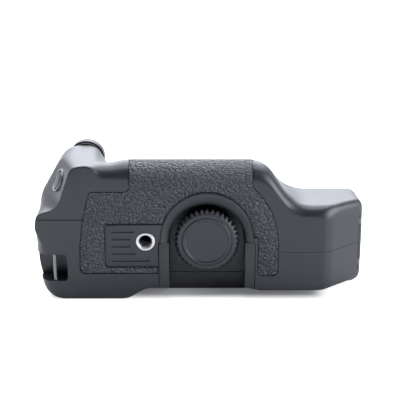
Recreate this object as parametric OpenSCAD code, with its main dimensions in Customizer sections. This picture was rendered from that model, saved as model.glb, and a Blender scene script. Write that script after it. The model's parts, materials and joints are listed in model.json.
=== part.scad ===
// Camera battery grip, modelled as it lies on its rear face. Millimetres.
// The origin is the axis of the camera screw on the mount face. +Y points into the camera,
// +Z towards the finger side and +X towards the battery door.

/* [Body] */
// Depth from the bottom face to the mount face
body_h = 40; // [39:0.5:44]
// Reach of the left end from the screw axis
left_end = 79.6; // [78:0.2:84]
// Reach of the right end from the screw axis
right_end = 73.6; // [72:0.2:80]
// Height of the finger bulge above the screw axis
bulge_top = 37.5; // [36.5:0.25:40]
// Height of the lobe with the shutter button
lobe_top = 36.5; // [35.5:0.25:38]
// Height of the right block above the screw axis
block_top = 16.9; // [16:0.1:19]
// Depth of the finger groove beside the bulge
groove_dip = 1.5; // [0.8:0.1:2.5]
// Distance of the rear foot below the screw axis
foot_drop = 28.5; // [28:0.25:30]
// Distance of the rear edge of the bottom face at the knob below the screw axis
mid_drop = 22.5; // [21.5:0.25:24]
// Thickness of the shell walls
wall = 2.4; // [2:0.1:2.8]
// Thickness of the mount plate
plate_t = 1.6; // [1.2:0.1:2]
// Thickness of the grip rubber and the socket pad
rubber_t = 1; // [0.6:0.1:1.2]

/* [Edges] */
// Rounding between the bulge and the bottom face
bulge_round = 8.6; // [6:0.2:10]
// Rounding between the groove and the bottom face
groove_round = 6.6; // [5:0.2:8]
// Rounding between the right block and the bottom face
block_round = 4; // [3.4:0.2:6]
// Rounding of the rear and end edges
rear_round = 2.4; // [1:0.2:4]
// Backward lean of the bulge, in degrees
bulge_lean = 16.5; // [12:0.5:18]
// Backward lean of the right block, in degrees
block_lean = 4.2; // [2:0.2:6]
// Depth of the chamfer at the right end
chamfer_d = 16; // [14:0.5:16.5]
// Width of the chamfer at the right end
chamfer_w = 17.6; // [16:0.2:22]

/* [Knob] */
// Radius over the knob teeth
knob_r = 15.2; // [13:0.1:15.5]
// Number of knob teeth
knob_teeth = 36; // [24:1:44]
// Height of the knob
knob_h = 12.4; // [11:0.2:13]
// Radius of the knob cap
cap_r = 11.4; // [10:0.1:12]
// Radius of the well arch
well_r = 17.2; // [16.8:0.1:17.6]
// Rounding between the well arch and the bottom face
rim_r = 3.7; // [2.5:0.1:4]
// Half width of the well below the arch
well_half = 17.6; // [16.5:0.1:18.5]
// Depth of the well
well_d = 14.6; // [13.8:0.1:15]
// Radius of the camera screw thread, a quarter inch across
thread_r = 3.175; // [3.1:0.005:3.2]
// Length of the camera screw above the mount face
thread_l = 4.8; // [4:0.1:6]

/* [Tripod socket] */
// Distance of the socket axis left of the screw axis
socket_x = 28.3; // [28:0.1:29]
// Radius of the tapped hole
socket_bore = 2.55; // [2.5:0.01:2.7]
// Radius of the socket ring
socket_r = 4.5; // [4:0.1:5]
// Length of the socket
socket_l = 9; // [7:0.5:10]

/* [Controls] */
// Radius of the shutter button
shutter_r = 4.3; // [3.8:0.1:4.6]
// Travel of the shutter button
shutter_travel = 1; // [0.6:0.1:1.2]
// Radius of the rear dial
dial_r = 8.5; // [8:0.1:8.8]
// Width of the rear dial
dial_w = 5; // [4:0.2:5.6]
// Radius of the rear buttons
button_r = 3; // [2.5:0.1:3.4]
// Travel of the rear buttons
button_travel = 0.8; // [0.5:0.1:1]

/* [Battery] */
// Length of the battery pack
pack_l = 44; // [40:0.5:44.5]
// Width of the battery pack
pack_w = 25; // [23:0.5:25.5]
// Thickness of the battery pack
pack_t = 16; // [14.5:0.25:16]
// Wall of the battery sleeve
sleeve_t = 1.2; // [1:0.1:1.4]

/* [Connector] */
// Radius of the connector plug
plug_r = 8.7; // [8:0.1:9]
// Reach of the plug above the mount face
plug_l = 8.4; // [7:0.2:10]

/* [Hidden] */
$fn = 64;
corner_steps = 3;
run_gap = 0.05;
seam = 0.2;
slip = 0.3;
big = 200;

bottom_y = -body_h;
shell_h = body_h - plate_t;
plate_y = -plate_t;
split_left = 10.8;
split_right = -4.9;
slant_d = 21;
foot_step = 3;
back_w = 14;
foot_end = body_h - back_w - foot_step;
back_z = -foot_drop + foot_step;
back_in = back_z + wall;
mid_prop = 15;
block_drop = 24.5;
block_prop = 14;
block_ramp = 12;
scoop_w = 7;
scoop_d = 9;
lobe_round = 0.8;
over = 1;

// Room for the battery, where the right end stays upright
fit = 0.3;
sleeve_gap = 1.75;
sleeve_y = plate_y - sleeve_gap - sleeve_t - fit - pack_t / 2;
half_y = pack_t / 2 + fit;
hinge_y = sleeve_y - half_y - sleeve_t - 0.95;
chamfer_s = min(chamfer_d, body_h + hinge_y - 0.6);

// Places of the section's corners along x
foot_right = -36.8;
mid_left = -28.5;
mid_right = 19.5;
prop_left = 24;
block_left = 39.8;
bulge_right = 26.2;
bulge_left = -37.5;
groove_mid = -44;
lobe_foot = -48.3;
lobe_right = -53.2;

function sorted(list) =
    len(list) < 2 ? list : let (p = list[0])
    concat(sorted([for (v = list) if (v < p) v]), [p], sorted([for (v = list) if (v > p) v]));

// Sections of the body are taken at these distances from the bottom face
stations = sorted([0.7, 2, 4, bulge_round, mid_prop, chamfer_s, block_prop, slant_d, foot_end,
                   foot_end + foot_step, scoop_d - 3, shell_h - 6.4]);

function clamp01(v) = max(0, min(1, v));
function mix(a, b, f) = a * (1 - f) + b * f;

// How far a rounded edge of radius e stands back at distance s from the face, inside by i
function edge(s, e, i) =
    let (r = max(e, i + 0.3))
    s >= r ? i : r - sqrt(max(0, pow(r - i, 2) - pow(r - s, 2)));

// Share of a side rounding over the depth d that is left at distance s from the face
function round_in(s, d) = s >= d ? 0 : 1 - sqrt(1 - pow(1 - s / d, 2));

// A corner at q between p and n, rounded over the length t of each side
function corner(p, q, n, t) =
    let (a = norm(p - q), b = norm(n - q), c = min(t, 0.45 * a, 0.45 * b))
    let (u = q + (p - q) * c / a, v = q + (n - q) * c / b)
    [for (k = [0 : corner_steps]) let (f = k / corner_steps)
        u * (1 - f) * (1 - f) + q * 2 * f * (1 - f) + v * f * f];

function xz(v) = [v[0], v[1]];

// Rounds every corner of a list of [x, z, rounding]
function rounded(list) =
    let (count = len(list))
    [for (k = [0 : count - 1])
        each corner(xz(list[(k + count - 1) % count]), xz(list[k]),
                    xz(list[(k + 1) % count]), list[k][2])];

// Corners of the body section at distance s from the bottom face, moved in by i
function section(s, i) =
    let (rear = edge(s, rear_round, i))
    let (lobe = edge(s, lobe_round, i))
    let (lean = max(0, s - bulge_round) * tan(bulge_lean))
    let (bulge_z = bulge_top - edge(s, bulge_round, i) - lean)
    let (groove_z = bulge_top - groove_dip - edge(s, groove_round, i) - lean)
    let (block_z = block_top - edge(s, block_round, i)
                   - max(0, s - 10) * tan(block_lean))
    let (right_x = right_end - max(0, chamfer_s - s) * chamfer_w / chamfer_d - rear)
    let (step = foot_step * clamp01((s - foot_end) / foot_step))
    let (foot_z = -foot_drop + step + rear)
    let (prop_z = -mix(block_drop, foot_drop, clamp01((s - block_prop) / block_ramp)) + rear)
    let (mid_z = -mix(mid_drop, foot_drop, clamp01(s / mid_prop)) + step + rear)
    let (slant = clamp01(s / slant_d))
    let (scoop = scoop_w * round_in(max(0, s - i), scoop_d) + i)
    [
        [-left_end + 3.8 + 0.9 * scoop, foot_z, 9],
        [foot_right - i / 3, foot_z, 3],
        [mid_left - i / 3, mid_z, 3],
        [mid_right + i / 3, mid_z, 2],
        [prop_left + i / 3, prop_z, 3],
        [right_x, prop_z, 6],
        [right_x, block_z, 5.5],
        [block_left - 0.6 * i, block_z, 9],
        [bulge_right - 0.6 * i, bulge_z, 8],
        [bulge_left, bulge_z, 4],
        [groove_mid, groove_z, 3],
        [lobe_foot - 0.5 * i, groove_z, 2.5],
        [lobe_right - i, lobe_top - lobe, 7],
        [mix(-61.6, -67.8, slant) + 0.6 * i, mix(lobe_top - 0.9, lobe_top, slant) - lobe, 8],
        [-left_end + mix(11.4, 0.9, slant) + 0.8 * i, mix(16.2, 17.6, slant) - 0.3 * i, 9],
        [-left_end + mix(1.2, 0, slant) + i, mix(13.4, 11, slant), 4],
        [-left_end + 0.3 + edge(s, lobe_round, i), 6, 2],
        [-left_end + 0.2 + scoop, -4.5, 4],
        [-left_end + 0.3 + scoop, -13, 6],
    ];

// Solid between two distances from the bottom face, moved in by i. Its rings run past both ends,
// where a box cuts it flat.
module body_solid(i, from, to)
{
    inner = [for (s = stations) if (s > from + 0.1 && s < to - 0.1) s];
    cuts = concat([from - over, from], inner, [to, to + over]);
    rings = [for (s = cuts) rounded(section(max(from, min(to, s)), i))];
    count = len(rings[0]);
    last = len(cuts) - 1;
    points = [for (k = [0 : last], p = rings[k]) [p[0], bottom_y + cuts[k], p[1]]];
    near_cap = [[for (j = [count - 1 : -1 : 0]) j]];
    far_cap = [[for (j = [0 : count - 1]) last * count + j]];
    sides = [for (k = [0 : last - 1], j = [0 : count - 1])
        let (a = k * count + j, b = k * count + (j + 1) % count)
        each [[a, b, b + count], [a, b + count, a + count]]];
    intersection() {
        polyhedron(points, concat(near_cap, far_cap, sides));
        box([-big, bottom_y + from, -big], [big, bottom_y + to, big]);
    }
}

// Turns a flat outline in x and z into a prism between two values of y
module prism(from, to)
{
    translate([0, to, 0]) rotate([90, 0, 0]) linear_extrude(to - from) children();
}

// Cylinder along y
module rod(r, from, to)
{
    translate([0, to, 0]) rotate([90, 0, 0]) cylinder(r = r, h = to - from);
}

module box(low, high)
{
    translate(low) cube(high - low);
}

// Knob well
well_wall = 0.7;
well_out = well_r + rim_r + well_wall;
post_w = well_out + 0.8 - well_half;
post_top = -0.4;
floor_t = 2;
floor_y = bottom_y + well_d;
floor_end = floor_y + floor_t;

module well_outline(grow)
{
    intersection() {
        circle(well_out + grow);
        translate([-big / 2, post_top]) square(big);
    }
    half = well_half + post_w + grow;
    translate([-half, -foot_drop - over]) square([2 * half, foot_drop + over]);
}

module well_room()
{
    intersection() {
        union() {
            rod(well_r, bottom_y - 1, floor_y);
            translate([0, bottom_y, 0]) rotate([-90, 0, 0]) rotate_extrude() difference() {
                square([well_r + rim_r, rim_r]);
                translate([well_r + rim_r, rim_r]) circle(rim_r);
            }
        }
        box([-big, -big, post_top], [big, big, big]);
    }
    box([-well_half, bottom_y - 1, -big], [well_half, floor_y, post_top + 0.01]);
}

bush_r = 5;
neck_r = 2.8;
bush_flange = 0.8;

module knob_well()
{
    color("dimgray") difference() {
        intersection() {
            prism(bottom_y - 1, floor_end + 1) well_outline(0);
            body_solid(0, 0, well_d + floor_t);
        }
        well_room();
        rod(bush_r, floor_y - 1, floor_end + 1);
    }
}

module screw_bush()
{
    color("silver") difference() {
        union() {
            rod(bush_r, floor_y, floor_end);
            rod(bush_r + 1.5, floor_end, floor_end + bush_flange);
        }
        rod(neck_r + run_gap, floor_y - 1, floor_end + bush_flange + 1);
    }
}

// Knob, cap, camera screw and its clip
knob_y = bottom_y + 0.4;
cap_t = 1.6;
tooth_h = 0.9;
grip_l = 8.6;

module tooth_outline(r, count, depth)
{
    polygon([for (k = [0 : 2 * count - 1]) let (a = k * 180 / count, q = k % 2 == 0 ? r : r - depth)
        [q * cos(a), q * sin(a)]]);
}

module knob()
{
    color("dimgray") difference() {
        union() {
            prism(knob_y, knob_y + grip_l) tooth_outline(knob_r, knob_teeth, tooth_h);
            rod(knob_r - 2, knob_y, knob_y + knob_h);
        }
        rod(cap_r + run_gap, knob_y - 1, knob_y + cap_t);
        rod(neck_r + run_gap, knob_y, knob_y + knob_h + 1);
    }
}

module knob_cap()
{
    color("gray") difference() {
        rod(cap_r, knob_y - 0.3, knob_y + cap_t);
        rod(cap_r - 1.2, knob_y - 1, knob_y);
    }
}

module camera_screw()
{
    tip = 0.5;
    color("silver") {
        rod(neck_r, knob_y + cap_t, 0);
        rod(thread_r, 0, thread_l - tip);
        translate([0, thread_l - tip, 0]) rotate([-90, 0, 0])
            cylinder(r1 = thread_r, r2 = thread_r - tip, h = tip);
    }
}

clip_y = floor_end + bush_flange + 0.2;
clip_t = 0.8;

module screw_clip()
{
    color("silver") difference() {
        rod(bush_r, clip_y, clip_y + clip_t);
        rod(neck_r + 0.02, clip_y - 1, clip_y + clip_t + 1);
    }
}

// Grip rubber and socket pad on the bottom face
arm_low = -16.7;
strip_low = -15.5;
pad_left = -46.6;
pad_low = -11.9;
pad_high = 8.4;
rubber_left = -left_end + 19;
rubber_far = shell_h - 4;

module pad_outline(grow)
{
    translate([pad_left - grow, pad_low - grow])
        square([-well_half - pad_left, pad_high - pad_low + 2 * grow]);
}

module rubber_outline()
{
    difference() {
        polygon(rounded([
            [rubber_left, strip_low, 3], [-well_half, strip_low, 0.5], [-well_half, 2, 0.5],
            [well_half + post_w + 1, 2, 0.5], [well_half + post_w + 1, arm_low, 3],
            [33.2, arm_low, 3.5], [33.3, 3, 5], [30.5, 13.8, 4], [25.8, 21.6, 3], [21, 26.5, 2],
            [21, 60, 0.5], [-35.6, 60, 0.5], [-35.6, 24.2, 3], [-52.9, 24.2, 2],
            [rubber_left + 1.3, 10.8, 4], [rubber_left, -2, 4],
        ]));
        well_outline(seam);
        pad_outline(seam);
    }
}

module grip_rubber()
{
    color("darkslategray") difference() {
        intersection() {
            body_solid(0, 0, shell_h);
            prism(bottom_y - 1, bottom_y + rubber_far) rubber_outline();
        }
        body_solid(rubber_t, rubber_t, shell_h + 1);
    }
}

socket_z = 0.2;
groove_pitch = 3.5;
groove_w = 1.3;
groove_d = 0.5;
groove_clear = 7.2;

module socket_pad()
{
    first = pad_high - 3.2;
    color("dimgray") difference() {
        prism(bottom_y, bottom_y + rubber_t) difference() {
            pad_outline(0);
            well_outline(seam);
            translate([-socket_x, socket_z]) circle(socket_r + run_gap);
        }
        for (k = [0 : 4]) {
            z = first - k * groove_pitch;
            off = abs(z - socket_z);
            reach = off < groove_clear ? -socket_x - sqrt(groove_clear * groove_clear - off * off)
                                       : -socket_x + 2;
            box([pad_left + 2.6, bottom_y - 1, z - groove_w / 2],
                [reach, bottom_y + groove_d, z + groove_w / 2]);
        }
    }
}

module tripod_socket()
{
    color("silver") translate([-socket_x, 0, socket_z]) difference() {
        rod(socket_r, bottom_y, bottom_y + socket_l);
        rod(socket_bore, bottom_y - 1, bottom_y + socket_l + 1);
    }
}

// Strap slot at the left end
slot_right = -left_end + 15;
slot_low = -19;
slot_high = -6;
slot_d = 11;
bar_x = -left_end + 9;
bar_y = bottom_y + 2.2;
bar_r = 0.9;
bar_seat = 1.6;

module slot_room()
{
    prism(bottom_y - 1, bottom_y + slot_d) polygon(rounded([
        [-left_end - 5, slot_low, 0.1], [slot_right, slot_low, 2], [slot_right, slot_high, 2],
        [-left_end - 5, slot_high, 0.1]]));
}

// Solid stock round the slot, left standing in the cavity
module slot_stock()
{
    box([-big, bottom_y, slot_low - wall], [slot_right + 2, bottom_y + slot_d + 2, slot_high + wall]);
}

module strap_bar()
{
    color("gainsboro") translate([bar_x, bar_y, slot_low - bar_seat])
        cylinder(r = bar_r, h = slot_high - slot_low + 2 * bar_seat);
}

// Shutter button on the slanted corner. Local +Z is the outward normal there.
shutter_at = [-left_end + 11, bottom_y + 10, 27];
shutter_up = 23.3;
shutter_turn = 20.4;
bezel_t = 1;
bezel_flange = 0.5;
button_t = 2.6;
switch_h = 4;
cup_d = button_t + shutter_travel + 0.4 + switch_h + 1;

module on_slant()
{
    translate(shutter_at) rotate([0, shutter_up - 90, shutter_turn]) children();
}

module shutter_bezel()
{
    r = shutter_r + slip + bezel_t;
    color("dimgray") on_slant() difference() {
        translate([0, 0, -cup_d]) cylinder(r = r, h = cup_d + bezel_flange);
        translate([0, 0, 1 - cup_d]) cylinder(r = shutter_r + slip, h = cup_d + 1);
    }
}

module shutter_button()
{
    color("gray") on_slant() {
        translate([0, 0, -button_t]) cylinder(r = shutter_r, h = button_t);
        cylinder(r1 = shutter_r, r2 = shutter_r - 0.8, h = 0.8);
    }
}

module shutter_switch()
{
    half = shutter_r / 1.6;
    color("black") on_slant()
        translate([-half, -half, 1 - cup_d]) cube([2 * half, 2 * half, switch_h]);
}

// Screw bosses, as [x, z, 1 for the front shell]
boss_r = 2.6;
boss_l = 11;
screw_r = 1.2;
head_r = 2.2;
head_t = 0.9;
boss_z = bulge_top - wall - (shell_h - bulge_round) * tan(bulge_lean) + 0.5 - boss_r;
bosses = [
    [-30, boss_z, 1],
    [12, boss_z, 1],
    [8, back_in + boss_r - 0.3, 0],
    [-left_end + wall + boss_r, -14, 0],
];

module boss_posts(front)
{
    for (b = bosses) if (b[2] == front)
        translate([b[0], 0, b[1]]) rod(boss_r, plate_y - boss_l, plate_y);
}

module boss_holes()
{
    for (b = bosses)
        translate([b[0], 0, b[1]]) rod(screw_r + 0.02, plate_y - boss_l + 1, 1);
}

module mount_screws()
{
    color("silver") for (b = bosses) translate([b[0], 0, b[1]]) {
        rod(screw_r, plate_y - boss_l + 2, -head_t);
        difference() {
            rod(head_r, -head_t, -0.1);
            box([-1.5, -0.5, -0.25], [1.5, 0, 0.25]);
            box([-0.25, -0.5, -1.5], [0.25, 0, 1.5]);
        }
    }
}

// Battery sleeve, pack, door and latch
sleeve_z = -5;
sleeve_end = right_end - 2.8;
half_z = pack_w / 2 + fit;
pack_end = sleeve_end - 0.9;
pack_start = pack_end - pack_l;
sleeve_start = pack_start - 1.2;
hinge_x = right_end - 1.9;
knuckle_r = 1.7;
pin_r = 0.8;
knuckle_low = sleeve_z - half_z + 4.2;
knuckle_high = sleeve_z + half_z - 4.2;
lug_l = 3;
contact_z = [-7, -3.5, 0, 3.5];
door_in = right_end - 2.3;
door_far = plate_y - 1.8;
door_low = sleeve_z - half_z - 0.5;
door_high = sleeve_z + half_z + 0.5;

module hinge_line(r, low, high)
{
    translate([hinge_x, hinge_y, low]) cylinder(r = r, h = high - low);
}

module hinge_lug(low)
{
    hinge_line(knuckle_r - 0.1, low, low + lug_l);
    box([hinge_x - 4, hinge_y - 0.7, low], [hinge_x, hinge_y + 1.2, low + lug_l]);
}

module sleeve_block(grow)
{
    out_y = half_y + sleeve_t + grow;
    out_z = half_z + sleeve_t + grow;
    box([sleeve_start - sleeve_t - grow, sleeve_y - out_y, sleeve_z - out_z],
        [sleeve_end + grow, sleeve_y + out_y, sleeve_z + out_z]);
}

module battery_sleeve()
{
    color("slategray") difference() {
        union() {
            sleeve_block(0);
            for (x = [sleeve_start + 6, sleeve_end - 14])
                box([x, sleeve_y + half_y, sleeve_z - half_z], [x + 2, plate_y, sleeve_z + half_z]);
            hinge_lug(knuckle_high + 0.2);
            hinge_lug(knuckle_low - 0.2 - lug_l);
        }
        box([sleeve_start, sleeve_y - half_y, sleeve_z - half_z],
            [big, sleeve_y + half_y, sleeve_z + half_z]);
        hinge_line(pin_r + 0.02, knuckle_low - lug_l, knuckle_high + lug_l);
        hinge_line(knuckle_r + slip, knuckle_low - 0.2, knuckle_high + 0.2);
    }
}

module battery_pack()
{
    color("darkgray") difference() {
        box([pack_start, sleeve_y - pack_t / 2, sleeve_z - pack_w / 2],
            [pack_end, sleeve_y + pack_t / 2, sleeve_z + pack_w / 2]);
        for (z = contact_z)
            box([pack_start - 1, sleeve_y - 2, sleeve_z + z - 0.8],
                [pack_start + 0.5, sleeve_y + 2, sleeve_z + z + 0.8]);
    }
}

module battery_contacts()
{
    color("gold") for (z = contact_z)
        box([sleeve_start, sleeve_y - 1.6, sleeve_z + z - 0.5],
            [pack_start + 0.3, sleeve_y + 1.6, sleeve_z + z + 0.5]);
}

module hinge_pin()
{
    color("silver") hinge_line(pin_r, knuckle_low - lug_l + 0.2, knuckle_high + lug_l - 0.2);
}

latch_z = sleeve_z;
latch_w = 5.6;
latch_l = 3.8;
latch_travel = 1.6;
latch_in = right_end - 1.3;
latch_y = door_far - 2.2 - latch_l;
tongue_w = 3.6;
tongue_x = [right_end - 1.9, right_end - 1.3];

module battery_door()
{
    color("dimgray") difference() {
        union() {
            intersection() {
                body_solid(0, 0, shell_h);
                box([door_in, hinge_y, door_low], [big, door_far, door_high]);
            }
            hinge_line(knuckle_r, knuckle_low, knuckle_high);
        }
        hinge_line(pin_r + run_gap, door_low - 1, door_high + 1);
        hinge_line(knuckle_r + slip, door_low - 1, knuckle_low);
        hinge_line(knuckle_r + slip, knuckle_high, door_high + 1);
        box([latch_in - 0.1, latch_y - 0.3, latch_z - latch_w / 2 - 0.3],
            [big, latch_y + latch_l + latch_travel + 0.3, latch_z + latch_w / 2 + 0.3]);
        box([tongue_x[0] - 0.1, latch_y - 0.3, latch_z - tongue_w / 2 - 0.3],
            [latch_in + 0.1, door_far + 1, latch_z + tongue_w / 2 + 0.3]);
    }
}

module door_latch()
{
    color("gray") {
        difference() {
            box([latch_in, latch_y, latch_z - latch_w / 2],
                [right_end - 0.1, latch_y + latch_l, latch_z + latch_w / 2]);
            for (k = [0 : 2])
                box([right_end - 0.4, latch_y + 0.7 + k, latch_z - latch_w / 2 + 0.6],
                    [right_end, latch_y + 1.1 + k, latch_z + latch_w / 2 - 0.6]);
        }
        box([tongue_x[0], latch_y, latch_z - tongue_w / 2],
            [latch_in, door_far - 0.2, latch_z + tongue_w / 2]);
    }
}

module door_pad()
{
    color("black") box([pack_end + 0.2, sleeve_y - half_y + 2, sleeve_z - half_z + 5],
        [door_in, sleeve_y + half_y - 3, sleeve_z + half_z - 5]);
}

module door_window()
{
    box([sleeve_end, hinge_y - knuckle_r - 0.6, door_low - 0.3], [big, door_far + 0.3, door_high + 0.3]);
    hinge_line(knuckle_r + slip, door_low, door_high);
    box([tongue_x[0] - 0.3, door_far, latch_z - tongue_w / 2 - 0.3],
        [tongue_x[1] + 0.3, plate_y + 1, latch_z + tongue_w / 2 + 0.3]);
}

// Rear dial, rear buttons and power lever
dial_in = 21.6;
dial_x = -left_end + dial_in;
dial_y = -9;
dial_at = [dial_x, dial_y, -foot_drop + 0.5 + dial_r];
axle_r = 1;
cheek_t = 1.8;

module at_dial(r, half)
{
    translate([dial_at[0], 0, dial_at[2]]) rod(r, dial_y - half, dial_y + half);
}

module rear_dial()
{
    color("dimgray") difference() {
        translate([dial_at[0], 0, dial_at[2]]) prism(dial_y - dial_w / 2, dial_y + dial_w / 2)
            tooth_outline(dial_r, 40, 0.6);
        at_dial(axle_r + run_gap, dial_w);
    }
}

module dial_axle()
{
    color("silver") at_dial(axle_r, dial_w / 2 + slip + cheek_t);
}

module dial_bracket()
{
    color("slategray") difference() {
        for (side = [-1, 1]) {
            inner = dial_y + side * (dial_w / 2 + slip);
            outer = inner + side * cheek_t;
            box([dial_x - 3, min(inner, outer), back_in], [dial_x + 3, max(inner, outer), dial_at[2] + 3]);
        }
        at_dial(axle_r + 0.02, dial_w);
    }
}

module dial_window()
{
    reach = dial_r + 0.4;
    box([dial_x - reach, dial_y - dial_w / 2 - 0.4, -big / 2],
        [dial_x + reach, dial_y + dial_w / 2 + 0.4, dial_at[2]]);
}

button_y = -10;
button_x = [-18, -6];
flange_t = 0.8;
board_z = back_in + 4.4;
board_t = 1.2;
spacers = [[-23, -14], [-23, -6], [-12, -14], [-12, -6]];

module rear_button(x)
{
    color("gray") translate([x, button_y, 0]) {
        translate([0, 0, back_z - 0.7]) cylinder(r = button_r, h = wall + 0.7);
        translate([0, 0, back_in]) cylinder(r = button_r + 0.7, h = flange_t);
    }
}

module button_a() { rear_button(button_x[0]); }
module button_b() { rear_button(button_x[1]); }

module button_board()
{
    color("darkgreen") box([button_x[0] - 7, button_y - 6, board_z],
        [button_x[1] + 4, button_y + 6, board_z + board_t]);
}

module button_switches()
{
    low = back_in + flange_t + button_travel + 0.2;
    color("black") for (x = button_x)
        box([x - 2, button_y - 2, low], [x + 2, button_y + 2, board_z]);
}

lever_at = [-43, -9];
lever_r = 4.2;
lever_t = 1.3;
lever_neck = 1.5;

module lever_rod(r, low, high)
{
    translate([lever_at[0], lever_at[1], low]) cylinder(r = r, h = high - low);
}

module power_lever()
{
    color("gray") {
        lever_rod(lever_r, back_z - lever_t - 0.1, back_z - 0.1);
        box([lever_at[0] + 2, lever_at[1] - 1, back_z - lever_t - 0.9],
            [lever_at[0] + 5.6, lever_at[1] + 1, back_z - 0.1]);
        lever_rod(lever_neck, back_z - 0.2, back_in + 0.2);
        lever_rod(lever_neck + 1.2, back_in + 0.2, back_in + 1);
    }
}

thumb_t = 1;
thumb_in = 13;
thumb_edge = 4;
thumb_right = -39;
thumb_back = 3;

module thumb_block(grow, down)
{
    box([-left_end + thumb_in - grow, bottom_y + thumb_edge - grow, -foot_drop - down],
        [thumb_right + grow, bottom_y + foot_end - thumb_back + grow, thumb_t - foot_drop]);
}

module thumb_rubber()
{
    color("darkslategray") thumb_block(0, 0);
}

// Shells
module front_zone()
{
    box([-big, -big, split_left], [0, big, big]);
    box([0, -big, split_right], [big, big, big]);
}

module shell_walls()
{
    difference() {
        body_solid(0, 0, shell_h);
        difference() {
            body_solid(wall, wall, shell_h + 1);
            slot_stock();
        }
        difference() {
            prism(bottom_y - 1, bottom_y + rubber_far + seam) union() {
                rubber_outline();
                pad_outline(seam);
            }
            body_solid(rubber_t, rubber_t, shell_h + 1);
        }
    }
}

module shell_cuts()
{
    prism(bottom_y - 1, floor_end + seam) well_outline(seam / 2);
    door_window();
    sleeve_block(seam / 2);
    boss_holes();
}

module front_shell()
{
    color("dimgray") difference() {
        union() {
            intersection() {
                shell_walls();
                front_zone();
            }
            boss_posts(1);
        }
        shell_cuts();
        on_slant() translate([0, 0, -cup_d - 1])
            cylinder(r = shutter_r + slip + bezel_t + run_gap, h = cup_d + 9);
    }
}

module rear_shell()
{
    color("dimgray") difference() {
        union() {
            difference() {
                shell_walls();
                front_zone();
            }
            boss_posts(0);
            translate([-socket_x, 0, socket_z])
                rod(socket_r + 1.4, bottom_y + wall - 0.5, bottom_y + socket_l);
            for (p = spacers)
                translate([p[0], p[1], back_in - 0.2]) cylinder(r = 1.2, h = board_z - back_in + 0.2);
        }
        shell_cuts();
        slot_room();
        translate([-socket_x, 0, socket_z]) rod(socket_r + run_gap, bottom_y - 1, bottom_y + socket_l + 1);
        translate([bar_x, bar_y, slot_low - bar_seat])
            cylinder(r = bar_r + 0.02, h = slot_high - slot_low + 2 * bar_seat);
        thumb_block(0.1, over);
        dial_window();
        for (x = button_x)
            translate([x, button_y, back_z - 5]) cylinder(r = button_r + 0.1, h = 5 + wall + 0.1);
        lever_rod(lever_neck + run_gap, back_z - 5, back_in + 0.1);
    }
}

// Mount plate with what stands on it
plug_neck = 4.6;
neck_l = 4;
plug_in = 20.8;
plug_down = 7.2;
plug_at = [-left_end + plug_in, 0, lobe_top - plug_down];
seal_t = 1.2;
pocket = [8, 3.2];
pocket_d = 3;
guide_r = 2;
guide_stem = 1.6;
guide_l = 3;
// Recess under the seal and spot faces round the pins
seat_d = 0.3;
seat_r = plug_r + 0.9;
spot_r = guide_r + 1.4;
guides = [[-34, -6], [44, -4]];
main_t = 1.6;
board_y = -8;
// Chips on the main board, as [x, z, width, height, thickness]
chips = [[4, 8, 10, 10, 1.4], [22, 6, 5, 14, 2.4]];
board_x = [-58, -27];
board_low = -8;
board_high = bulge_top - 16.5;

module mount_plate()
{
    color("black") difference() {
        union() {
            prism(plate_y, 0) polygon(rounded(section(body_h, 0.5)));
            for (x = board_x, z = [board_low, board_high])
                translate([x + (x < -40 ? 3 : -3), 0, z + (z < 0 ? 3 : -3)]) rod(1.6, board_y, plate_y);
        }
        rod(thread_r + slip, plate_y - 1, 1);
        translate(plug_at) rod(plug_neck + run_gap, plate_y - 1, 1);
        for (b = bosses) translate([b[0], 0, b[1]]) {
            rod(screw_r + 0.1, plate_y - 1, 1);
            rod(head_r + 0.1, -head_t, 1);
        }
        translate(plug_at) rod(seat_r, -seat_d, 1);
        for (g = guides) translate([g[0], 0, g[1]]) {
            rod(guide_stem + 0.02, plate_y - 1, 1);
            rod(spot_r, -seat_d, 1);
        }
    }
}

module locating_pins()
{
    color("silver") for (g = guides) translate([g[0], 0, g[1]]) {
        rod(guide_stem, plate_y, -seat_d);
        rod(guide_r, -seat_d, guide_l - 0.5);
        translate([0, guide_l - 0.5, 0]) rotate([-90, 0, 0])
            cylinder(r1 = guide_r, r2 = guide_r - 0.5, h = 0.5);
    }
}

module plug_seal()
{
    color("black") translate(plug_at) difference() {
        rod(plug_r - 0.8, -seat_d, seal_t);
        rod(plug_neck + run_gap, -1, seal_t + 1);
    }
}

module plug_body()
{
    lip = 2.2;
    color("black") translate(plug_at) difference() {
        union() {
            rod(plug_neck, plate_y - neck_l, seal_t);
            rod(plug_r, seal_t, plug_l - lip);
            translate([0, plug_l - lip, 0]) rotate([-90, 0, 0]) rotate_extrude() {
                square([plug_r - lip, lip]);
                intersection() {
                    translate([plug_r - lip, 0]) circle(lip);
                    translate([plug_r - lip, 0]) square(lip);
                }
            }
        }
        box([-pocket[0] / 2, plug_l - pocket_d, -pocket[1] / 2], [pocket[0] / 2, plug_l + 1, pocket[1] / 2]);
    }
}

module plug_contacts()
{
    color("gold") translate(plug_at) for (k = [-3 : 3])
        box([k - 0.25, plug_l - pocket_d, -0.9], [k + 0.25, plug_l - 0.8, 0.9]);
}

module main_board()
{
    color("darkgreen") box([board_x[0], board_y - main_t, board_low],
        [board_x[1], board_y, board_high]);
}

module board_chips()
{
    top = board_y - main_t;
    color("black") for (c = chips)
        translate([board_x[0] + c[0], top - c[4], board_low + c[1]]) cube([c[2], c[4], c[3]]);
}

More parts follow.
